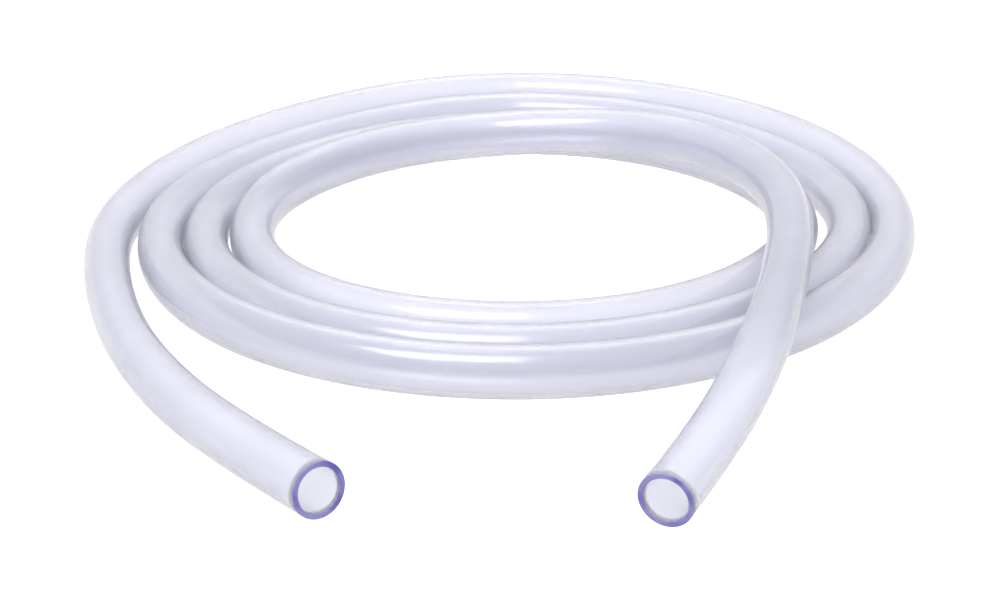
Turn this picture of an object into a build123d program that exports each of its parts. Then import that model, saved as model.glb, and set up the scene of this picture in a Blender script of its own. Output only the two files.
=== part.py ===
from build123d import *
import math
import os

# Clear vinyl siphon hose, one length with two open ends, lying loosely coiled on a flat surface.
# Millimetres, +Z up, floor at Z = 0, origin under the middle of the whole hose.

hose_outer = 15.875  # outside diameter, 5/8 in
hose_bore = 12.7  # bore, 1/2 in
mouth_length = 18.0  # straight cut end at each mouth
coil_centre = (0.16, 33.45)  # plan centre of the coil
lying = hose_outer / 2  # height of the hose's centre line on the floor
side_reach = 7.3  # from a turn's centre line to the coil's outer side, as bending presses the hose oval
hole_reach = 4.8  # from a turn's centre line to the coil's open middle, clear of the raised turn
degree_step = 45  # spacing of the radii and heights below
loop_step = 15  # spacing of the raised turn's points
outline_step = 30  # spacing of the points of the coil's two outlines
arc_share = 0.45  # how much of the shorter run beside it each end of an arc takes

# Centre line of the turns, from the left clockwise seen from above: 45 degrees before the left
# comes first, and then the left, back left, back, back right, right, and so on.
turn_radii = (
    149,
    129, 122.5, 135, 134.5, 130, 127, 125.5, 122.5,
    113.6, 101.5, 110, 113, 115.5, 112.4, 111, 108,
    98.5, 86.5, 87.5, 93, 97.5, 96.5, 94, 92,
    83.3, 72.5, 69, 77, 86.8, 101, 120,
)
leave_angle = 1035  # where the inner turn leaves the flat ones, at the front left of the third turn
climb_end = 1245  # last worked-out point of the raised turn
turn_lifts = {1050: 0.0, 1080: 1.8, 1125: 4.0, 1170: 5.8, 1215: 10.2, 1260: 15.6}

# Route of the two free ends, from the mouths to the coil, about the coil's centre.
left_route = [
    (-48.4, -204.1, 10.9),
    (-68.4, -176.6, lying),
    (-94.5, -142.0, lying),
    (-114.5, -101.0, lying),
    (-127.5, -53.0, lying),
    (-129.3, -30.5, lying),
]
right_route = [
    (40.6, -204.1, lying),
    (57.5, -169.5, 10.6),
    (72.0, -137.0, 20.4),
    (81.0, -105.0, 24.7),
    (90.5, -52.0, 24.4),
    (89.8, -12.0, 24.2),
]


def turn_radius(angle):
    place = angle / degree_step + 1
    first = int(math.floor(place))
    part = place - first
    before, start, end, after = (turn_radii[first + step] for step in (-1, 0, 1, 2))
    rise = (end - before) / 2
    leave = (after - start) / 2
    bend = 3 * (end - start) - 2 * rise - leave
    close = rise + leave - 2 * (end - start)
    return start + part * (rise + part * (bend + part * close))


def turn_lift(angle):
    lifts = sorted(turn_lifts.items())
    for (low, start), (high, end) in zip(lifts, lifts[1:]):
        if low <= angle <= high:
            return start + (end - start) * (angle - low) / (high - low)
    return 0.0


def polar(angle, radius, height=0.0):
    turn = math.radians(angle)
    x = coil_centre[0] - radius * math.cos(turn)
    y = coil_centre[1] + radius * math.sin(turn)
    return Vector(x, y, height)


def placed(route):
    return [Vector(x + coil_centre[0], y + coil_centre[1], z) for x, y, z in route]


def bend_radii(points):
    radii = []
    for before, corner, after in zip(points, points[1:], points[2:]):
        half_turn = math.radians((corner - before).get_angle(after - corner)) / 2
        shorter = min((corner - before).length, (after - corner).length)
        radii.append(arc_share * shorter / math.tan(half_turn))
    return radii


left_points = placed(left_route)
right_points = placed(right_route)
left_mouth_dir = (left_points[0] - left_points[1]).normalized()
right_mouth_dir = (right_points[0] - right_points[1]).normalized()
left_joint = left_points[0] - left_mouth_dir * mouth_length
right_joint = right_points[0] - right_mouth_dir * mouth_length
left_run_points = [left_joint] + left_points[1:]
raised_joint = (right_points[-1] + right_points[-2]) / 2
right_run_points = [right_joint] + right_points[1:-1] + [raised_joint]

# Raised turn: it leaves the flat turns at the front left, climbs along the back and lies on them
# at the right.
stretch = 1 / math.cos(math.radians(loop_step / 2))
raised_points = [polar(leave_angle, turn_radius(leave_angle), lying)]
for angle in range(leave_angle + loop_step, climb_end + 1, loop_step):
    raised_points.append(polar(angle, turn_radius(angle) * stretch, lying + turn_lift(angle)))
raised_points += [right_points[-1], raised_joint]


def step_ends(centre, direction):
    side = direction.cross(Vector(0, 0, 1)).normalized() * lying
    foot = Vector(centre.X, centre.Y, 0)
    return foot - side, foot + side


# Outline of the flat turns: a spiral with a step at the left, where the left end leaves it, around
# an open middle with a step at the front left, where the raised turn leaves it.
half_step = outline_step // 2
outline_angles = range(half_step, 360 - half_step, outline_step)
left_dir = left_points[-1] - left_points[-2]
outer_start, outer_end = step_ends(left_points[-1], left_dir)
outline_points = [polar(angle, turn_radius(angle) + side_reach) for angle in outline_angles]
raised_dir = raised_points[1] - raised_points[0]
hole_start, hole_end = step_ends(raised_points[0], raised_dir)
hole_angles = range(leave_angle - 360 + half_step, leave_angle, outline_step)
hole_points = [polar(angle, turn_radius(angle) - hole_reach) for angle in hole_angles]

with BuildPart() as coil:
    with BuildSketch(Plane.XY):
        with BuildLine():
            Spline(outer_start, *outline_points, outer_end)
            Line(outer_end, outer_start)
        make_face()
        with BuildLine():
            Spline(hole_start, *hole_points, hole_end)
            Line(hole_end, hole_start)
        make_face(mode=Mode.SUBTRACT)
    extrude(amount=hose_outer)
coil.part.label = "coil"


def report_run(name, line, part):
    section = math.pi * (hose_outer**2 - hose_bore**2) / 4
    length = sum(edge.length for edge in line.edges())
    share = part.volume / (section * length)
    print(f"{name}: length {length:.1f} mm, volume / (section x length) {share:.4f}")


with BuildPart() as raised_turn:
    with BuildLine() as raised_line:
        FilletPolyline(*raised_points, radius=bend_radii(raised_points))
    with BuildSketch(Plane(origin=raised_points[0], z_dir=raised_dir)):
        Circle(hose_outer / 2)
        Circle(hose_bore / 2, mode=Mode.SUBTRACT)
    sweep(path=raised_line.line)
raised_turn.part.label = "raised_turn"

with BuildPart() as left_run:
    with BuildLine() as left_line:
        FilletPolyline(*left_run_points, radius=bend_radii(left_run_points))
    with BuildSketch(Plane(origin=left_joint, z_dir=-left_mouth_dir)):
        Circle(hose_outer / 2)
        Circle(hose_bore / 2, mode=Mode.SUBTRACT)
    sweep(path=left_line.line)
left_run.part.label = "left_run"

with BuildPart() as right_run:
    with BuildLine() as right_line:
        FilletPolyline(*right_run_points, radius=bend_radii(right_run_points))
    with BuildSketch(Plane(origin=right_joint, z_dir=-right_mouth_dir)):
        Circle(hose_outer / 2)
        Circle(hose_bore / 2, mode=Mode.SUBTRACT)
    sweep(path=right_line.line)
right_run.part.label = "right_run"

with BuildPart() as left_mouth:
    with BuildSketch(Plane(origin=left_joint, z_dir=left_mouth_dir)):
        Circle(hose_outer / 2)
        Circle(hose_bore / 2, mode=Mode.SUBTRACT)
    extrude(amount=mouth_length)
left_mouth.part.label = "left_mouth"

with BuildPart() as right_mouth:
    with BuildSketch(Plane(origin=right_joint, z_dir=right_mouth_dir)):
        Circle(hose_outer / 2)
        Circle(hose_bore / 2, mode=Mode.SUBTRACT)
    extrude(amount=mouth_length)
right_mouth.part.label = "right_mouth"

print("raised radii", [round(radius) for radius in bend_radii(raised_points)])
print("left radii", [round(radius) for radius in bend_radii(left_run_points)])
print("right radii", [round(radius) for radius in bend_radii(right_run_points)])
report_run("raised_turn", raised_line.line, raised_turn.part)
report_run("left_run", left_line.line, left_run.part)
report_run("right_run", right_line.line, right_run.part)

os.makedirs("parts", exist_ok=True)
export_step(coil.part, "parts/coil.step")
export_step(raised_turn.part, "parts/raised_turn.step")
export_step(left_run.part, "parts/left_run.step")
export_step(right_run.part, "parts/right_run.step")
export_step(left_mouth.part, "parts/left_mouth.step")
export_step(right_mouth.part, "parts/right_mouth.step")
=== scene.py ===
import math

import bmesh
import bpy
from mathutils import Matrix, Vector


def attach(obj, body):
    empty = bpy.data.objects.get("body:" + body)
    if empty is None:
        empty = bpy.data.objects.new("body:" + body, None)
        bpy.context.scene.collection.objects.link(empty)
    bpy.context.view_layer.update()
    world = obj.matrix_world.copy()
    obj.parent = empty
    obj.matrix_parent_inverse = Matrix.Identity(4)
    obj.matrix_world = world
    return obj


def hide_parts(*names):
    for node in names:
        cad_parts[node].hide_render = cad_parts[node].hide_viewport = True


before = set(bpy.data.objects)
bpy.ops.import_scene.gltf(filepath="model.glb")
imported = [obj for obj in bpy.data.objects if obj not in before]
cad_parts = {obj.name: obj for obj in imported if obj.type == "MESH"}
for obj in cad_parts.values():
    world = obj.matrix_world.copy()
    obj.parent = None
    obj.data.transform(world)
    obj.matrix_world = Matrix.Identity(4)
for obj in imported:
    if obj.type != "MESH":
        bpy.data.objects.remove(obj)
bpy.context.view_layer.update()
mm = 0.001
outsideDiameter = 15.875

# The hose's line, in millimetres about the coil's centre.
route = {
    "coilCentre": (0.16, 33.45),
    "lying": outsideDiameter / 2,  # height of the centre line on the floor
    "radiusStep": 45,  # degrees between two of the radii
    "pointStep": 15,  # degrees between two points of the coil
    # radii of the turns, from 45 degrees before the left, clockwise seen from above
    "turnRadii": (
        149,
        129, 122.5, 135, 134.5, 130, 127, 125.5, 122.5,
        113.6, 101.5, 110, 113, 115.5, 112.4, 111, 108,
        98.5, 86.5, 87.5, 93, 97.5, 96.5, 94, 92,
        83.3, 72.5, 69, 77, 86.8, 101, 120,
    ),
    "coilStart": -6,  # degrees from the left, clockwise too
    "coilEnd": 1245,
    "lifts": {1050: 0.0, 1080: 1.8, 1125: 4.0, 1170: 5.8, 1215: 10.2, 1260: 15.6},  # by angle
    # the free ends, each from its mouth inwards
    "leftEnd": [
        (-48.4, -204.1, 10.9), (-68.4, -176.6, 7.94), (-94.5, -142.0, 7.94),
        (-114.5, -101.0, 7.94), (-127.5, -53.0, 7.94),
    ],
    "rightEnd": [
        (40.6, -204.1, 7.94), (57.5, -169.5, 10.6), (72.0, -137.0, 20.4),
        (81.0, -105.0, 24.7), (90.5, -52.0, 24.4), (89.8, -12.0, 24.2),
    ],
}
hose = {
    "outside": outsideDiameter * mm,
    "bore": 12.7 * mm,
    "lineOrder": 3,  # low, so that the line stays close to the route
    "lineSteps": 10,  # between two points of the route
    "ringGap": 3.2 * mm,  # between the mesh's rings
    "around": 56,  # points in a ring
    "cutRound": 0.25 * mm,  # the knife leaves the cut's edges this much rounded
    "flatten": 0.07,  # how much narrower a turn's section is than round
    "swell": 0.045,  # and how much taller
    "ovalFrom": 60 * mm,  # the free ends stay round this far, and are fully oval after as much again
}


def turnRadius(angle):
    place = angle / route["radiusStep"] + 1
    first = int(math.floor(place))
    part = place - first
    before, start, end, after = (route["turnRadii"][first + step] for step in (-1, 0, 1, 2))
    # a smooth curve through the radii on both sides of the angle
    rise, leave = (end - before) / 2, (after - start) / 2
    bend = 3 * (end - start) - 2 * rise - leave
    close = rise + leave - 2 * (end - start)
    return start + part * (rise + part * (bend + part * close))


def turnLift(angle):
    steps = sorted(route["lifts"].items())
    for (low, start), (high, end) in zip(steps, steps[1:]):
        if low <= angle <= high:
            return start + (end - start) * (angle - low) / (high - low)
    return 0.0


def hosePoints():
    centreX, centreY = route["coilCentre"]
    # the smooth line cuts its points' corners, so they stand this much further out
    stretch = 1 / math.cos(math.radians(route["pointStep"] / 2))
    points = [(x + centreX, y + centreY, z) for x, y, z in route["leftEnd"]]
    for angle in range(route["coilStart"], route["coilEnd"] + 1, route["pointStep"]):
        turn, radius = math.radians(angle), turnRadius(angle) * stretch
        height = route["lying"] + turnLift(angle)
        points.append((centreX - radius * math.cos(turn), centreY + radius * math.sin(turn), height))
    points += [(x + centreX, y + centreY, z) for x, y, z in reversed(route["rightEnd"])]
    return [Vector(p) * mm for p in points]


def smoothLine(points):
    data = bpy.data.curves.new("hoseLine", "CURVE")
    data.dimensions = "3D"
    spline = data.splines.new("NURBS")
    spline.points.add(len(points) - 1)
    for point, place in zip(spline.points, points):
        point.co = (*place, 1)
    spline.order_u = hose["lineOrder"]
    spline.use_endpoint_u = True
    spline.resolution_u = hose["lineSteps"]
    line = bpy.data.objects.new("hoseLine", data)
    bpy.context.scene.collection.objects.link(line)
    bpy.context.view_layer.update()
    mesh = bpy.data.meshes.new_from_object(line)
    places = [v.co.copy() for v in mesh.vertices]
    bpy.data.objects.remove(line)
    bpy.data.meshes.remove(mesh)
    return places


def evenly(places, gap):
    along = [0.0]
    for a, b in zip(places, places[1:]):
        along.append(along[-1] + (b - a).length)
    count = round(along[-1] / gap)
    even, at = [], 0
    for step in range(count + 1):
        target = along[-1] * step / count
        while at < len(places) - 2 and along[at + 1] < target:
            at += 1
        span = along[at + 1] - along[at]
        even.append(places[at].lerp(places[at + 1], (target - along[at]) / span if span else 0))
    return even, along[-1]


def ringPlaces(line):
    # a trimmed ring at each end and a full one just behind it round the cut's edge
    trim = hose["cutRound"]
    start = line[0] + (line[1] - line[0]).normalized() * trim
    end = line[-1] + (line[-2] - line[-1]).normalized() * trim
    inner = [start, *line[1:-1], end]
    return [(line[0], trim), *[(place, 0) for place in inner], (line[-1], trim)]


def ovalShare(fromEnd):
    share = min(max(fromEnd / hose["ovalFrom"] - 1, 0), 1)
    return share * share * (3 - 2 * share)  # starts and stops gently


def addRings(mesh, places):
    walls = {"outside": [], "bore": []}
    outer = hose["outside"] / 2
    last = len(places) - 1
    for number, (centre, trim) in enumerate(places):
        ahead = places[min(number + 1, last)][0] - places[max(number - 1, 0)][0]
        ahead.normalize()
        side = ahead.cross(Vector((0, 0, 1))).normalized()
        up = side.cross(ahead)
        oval = ovalShare(min(number, last - number) * hose["ringGap"])
        middle = centre + up * outer * hose["swell"] * oval  # the taller section rests on the floor too
        for wall, rings in walls.items():
            radius = hose[wall] / 2 - (trim if wall == "outside" else -trim)
            wide = radius - outer * hose["flatten"] * oval
            tall = radius + outer * hose["swell"] * oval
            ring = []
            for step in range(hose["around"]):
                turn = 2 * math.pi * step / hose["around"]
                place = middle + side * wide * math.cos(turn) + up * tall * math.sin(turn)
                ring.append(mesh.verts.new(place))
            rings.append(ring)
    return walls


def addWalls(mesh, walls):
    count = hose["around"]
    for wall, rings in walls.items():
        for a, b in zip(rings, rings[1:]):
            for step in range(count):
                after = (step + 1) % count
                corners = (a[step], b[step], b[after], a[after])
                face = mesh.faces.new(corners if wall == "outside" else corners[::-1])
                face.material_index = int(a is rings[0] or b is rings[-1])  # 1 is the cut's edge


def addCuts(mesh, walls):
    count = hose["around"]
    for end in (0, -1):
        outer, inner = walls["outside"][end], walls["bore"][end]
        for step in range(count):
            after = (step + 1) % count
            corners = (outer[step], outer[after], inner[after], inner[step])
            face = mesh.faces.new(corners if end == 0 else corners[::-1])
            face.material_index = 1


def hoseMesh(line):
    mesh = bmesh.new()
    walls = addRings(mesh, ringPlaces(line))
    addWalls(mesh, walls)
    addCuts(mesh, walls)
    for face in mesh.faces:
        face.smooth = face.material_index == 0  # the cuts stay flat
    bmesh.ops.recalc_face_normals(mesh, faces=mesh.faces)
    data = bpy.data.meshes.new("siphonHose")
    mesh.to_mesh(data)
    mesh.free()
    return data


def makeHose():
    line, length = evenly(smoothLine(hosePoints()), hose["ringGap"])
    data = hoseMesh(line)
    piece = bpy.data.objects.new("siphonHose", data)
    bpy.context.scene.collection.objects.link(piece)
    data.materials.append(clearVinyl())
    data.materials.append(cutVinyl())
    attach(piece, "root")
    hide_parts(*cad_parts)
    print("hose:", round(length, 3), "m,", len(data.polygons), "faces")


vinyl = {
    "milk": (0.94, 0.94, 0.995, 1),
    "clear": 0.90,  # how much of it is clear, and not milky
    "tint": (0.62, 0.62, 0.93, 1),
    "density": 17.0,
    "roughness": (0.17, 0.23),  # clean, and where it is hazy
    "hazeScale": 28,
    "bend": 1.53,  # index of refraction
    "gloss": 0.45,
    "glossRoughness": 0.12,
    "rippleScale": 55,
    "rippleDepth": 0.03 * mm,
}
cut = {
    "dark": (0.115, 0.095, 0.47, 1),
    "light": (0.30, 0.29, 0.62, 1),
    "patchScale": 110,
    "clear": 0.35,
    "roughness": (0.30, 0.55),
    "grainScale": 1500,
    "grainDepth": 0.10 * mm,
}


mottles = {
    "detail": 3,
    "lowFrom": 0.35,  # the noise's values that become the low and the high end
    "highFrom": 0.65,
}


def mottleGroup():
    group = bpy.data.node_groups.new("mottle", "ShaderNodeTree")
    for name in ("Scale", "Low", "High"):
        group.interface.new_socket(name, in_out="INPUT", socket_type="NodeSocketFloat")
    group.interface.new_socket("Value", in_out="OUTPUT", socket_type="NodeSocketFloat")
    start = group.nodes.new("NodeGroupInput")
    end = group.nodes.new("NodeGroupOutput")
    place = group.nodes.new("ShaderNodeTexCoord")
    noise = group.nodes.new("ShaderNodeTexNoise")
    noise.inputs["Detail"].default_value = mottles["detail"]
    ramp = group.nodes.new("ShaderNodeMapRange")
    ramp.interpolation_type = "SMOOTHSTEP"
    ramp.inputs["From Min"].default_value = mottles["lowFrom"]
    ramp.inputs["From Max"].default_value = mottles["highFrom"]
    group.links.new(place.outputs["Object"], noise.inputs["Vector"])
    group.links.new(start.outputs["Scale"], noise.inputs["Scale"])
    group.links.new(noise.outputs[0], ramp.inputs["Value"])
    group.links.new(start.outputs["Low"], ramp.inputs["To Min"])
    group.links.new(start.outputs["High"], ramp.inputs["To Max"])
    group.links.new(ramp.outputs["Result"], end.inputs["Value"])
    return group


def mottle(tree, scale, low, high):
    node = tree.nodes.new("ShaderNodeGroup")
    node.node_tree = bpy.data.node_groups.get("mottle") or mottleGroup()
    for name, value in (("Scale", scale), ("Low", low), ("High", high)):
        node.inputs[name].default_value = value
    return node.outputs["Value"]


def addBump(tree, shader, scale, depth):
    bump = tree.nodes.new("ShaderNodeBump")
    bump.inputs["Distance"].default_value = depth
    tree.links.new(mottle(tree, scale, 0, 1), bump.inputs["Height"])
    tree.links.new(bump.outputs["Normal"], shader.inputs["Normal"])


def addTint(tree):
    absorb = tree.nodes.new("ShaderNodeVolumeAbsorption")
    absorb.inputs["Color"].default_value = vinyl["tint"]
    absorb.inputs["Density"].default_value = vinyl["density"]
    tree.links.new(absorb.outputs["Volume"], tree.nodes["Material Output"].inputs["Volume"])


def clearVinyl():
    material = bpy.data.materials.new("clearVinyl")
    material.use_nodes = True
    tree = material.node_tree
    shader = tree.nodes["Principled BSDF"]
    shader.inputs["Base Color"].default_value = vinyl["milk"]
    shader.inputs["IOR"].default_value = vinyl["bend"]
    shader.inputs["Transmission Weight"].default_value = vinyl["clear"]
    shader.inputs["Coat Weight"].default_value = vinyl["gloss"]
    shader.inputs["Coat Roughness"].default_value = vinyl["glossRoughness"]
    tree.links.new(mottle(tree, vinyl["hazeScale"], *vinyl["roughness"]), shader.inputs["Roughness"])
    addBump(tree, shader, vinyl["rippleScale"], vinyl["rippleDepth"])
    addTint(tree)
    return material


def cutVinyl():
    material = bpy.data.materials.new("cutVinyl")
    material.use_nodes = True
    tree = material.node_tree
    shader = tree.nodes["Principled BSDF"]
    shader.inputs["IOR"].default_value = vinyl["bend"]
    shader.inputs["Transmission Weight"].default_value = cut["clear"]
    blend = tree.nodes.new("ShaderNodeMix")
    blend.data_type = "RGBA"
    blend.inputs["A"].default_value = cut["dark"]
    blend.inputs["B"].default_value = cut["light"]
    tree.links.new(mottle(tree, cut["patchScale"], 0, 1), blend.inputs["Factor"])
    tree.links.new(blend.outputs["Result"], shader.inputs["Base Color"])
    tree.links.new(mottle(tree, cut["grainScale"], *cut["roughness"]), shader.inputs["Roughness"])
    addBump(tree, shader, cut["grainScale"], cut["grainDepth"])
    addTint(tree)
    return material


studio = {
    "cameraPlace": (-1.84 * mm, -699.55 * mm, 288.64 * mm),
    "cameraDown": 23,
    "lens": 83.38,
    "sensor": 36,
    "bounces": 24,
    "floorSize": 6.0,
    "floorGrey": 0.15,
    "floorRoughness": 0.9,
    "floorTint": (0.97, 0.97, 1, 1),
    "floorFill": 0.79,  # light of its own that the paper gives
    "floorGlow": 0.50,  # and more of it where the camera looks straight at it
    "skyTop": (1.60, 1.60, 1.60, 1),
    "skySide": (0.94, 0.94, 1.03, 1),
    "skyBlend": (0.1, 0.95),  # heights where one starts to become the other, and where it has
    "lamp": {"place": (-0.34, -0.65, 1.2), "size": (0.80, 0.70), "power": 8.0},
}


def makeCamera():
    data = bpy.data.cameras.new("camera")
    data.lens = studio["lens"]
    data.sensor_width = studio["sensor"]
    camera = bpy.data.objects.new("camera", data)
    camera.location = studio["cameraPlace"]
    camera.rotation_euler = (math.radians(90 - studio["cameraDown"]), 0, 0)
    bpy.context.scene.collection.objects.link(camera)
    bpy.context.scene.camera = camera
    print("camera made")


def makeSky():
    world = bpy.data.worlds.new("studio")
    world.use_nodes = True
    tree = world.node_tree
    place = tree.nodes.new("ShaderNodeTexCoord")
    split = tree.nodes.new("ShaderNodeSeparateXYZ")
    ramp = tree.nodes.new("ShaderNodeMapRange")
    ramp.interpolation_type = "SMOOTHSTEP"
    ramp.inputs["From Min"].default_value = studio["skyBlend"][0]
    ramp.inputs["From Max"].default_value = studio["skyBlend"][1]
    sky = tree.nodes.new("ShaderNodeMix")
    sky.data_type = "RGBA"
    sky.inputs["A"].default_value = studio["skySide"]
    sky.inputs["B"].default_value = studio["skyTop"]
    tree.links.new(place.outputs["Generated"], split.inputs[0])
    tree.links.new(split.outputs["Z"], ramp.inputs["Value"])
    tree.links.new(ramp.outputs["Result"], sky.inputs["Factor"])
    tree.links.new(sky.outputs["Result"], tree.nodes["Background"].inputs["Color"])
    bpy.context.scene.world = world


def paleFloor():
    paper = bpy.data.materials.new("paleFloor")
    paper.use_nodes = True
    tree = paper.node_tree
    shader = tree.nodes["Principled BSDF"]
    shader.inputs["Base Color"].default_value = (*[studio["floorGrey"]] * 3, 1)
    shader.inputs["Roughness"].default_value = studio["floorRoughness"]
    shader.inputs["Emission Color"].default_value = studio["floorTint"]
    look = tree.nodes.new("ShaderNodeLightPath")
    glow = tree.nodes.new("ShaderNodeMath")
    glow.operation = "MULTIPLY_ADD"  # the view's glow on top of the fill
    glow.inputs[1].default_value = studio["floorGlow"]
    glow.inputs[2].default_value = studio["floorFill"]
    tree.links.new(look.outputs["Is Camera Ray"], glow.inputs[0])
    tree.links.new(glow.outputs[0], shader.inputs["Emission Strength"])
    return paper


def makeFloor():
    half = studio["floorSize"] / 2
    corners = [(-half, -half, 0), (half, -half, 0), (half, half, 0), (-half, half, 0)]
    data = bpy.data.meshes.new("floor")
    data.from_pydata(corners, [], [(0, 1, 2, 3)])
    floor = bpy.data.objects.new("floor", data)
    bpy.context.scene.collection.objects.link(floor)
    data.materials.append(paleFloor())


def makeSoftbox():
    lamp = bpy.data.lights.new("softbox", "AREA")
    lamp.shape = "RECTANGLE"
    lamp.size, lamp.size_y = studio["lamp"]["size"]
    lamp.energy = studio["lamp"]["power"]
    box = bpy.data.objects.new("softbox", lamp)
    box.location = studio["lamp"]["place"]
    bpy.context.scene.collection.objects.link(box)


def makeStudio():
    scene = bpy.context.scene
    scene.view_settings.view_transform = "Standard"
    scene.cycles.max_bounces = studio["bounces"]
    scene.cycles.transmission_bounces = studio["bounces"]
    scene.cycles.transparent_max_bounces = studio["bounces"]
    makeSky()
    makeFloor()
    makeSoftbox()
    print("studio made")


makeCamera()
makeHose()
makeStudio()
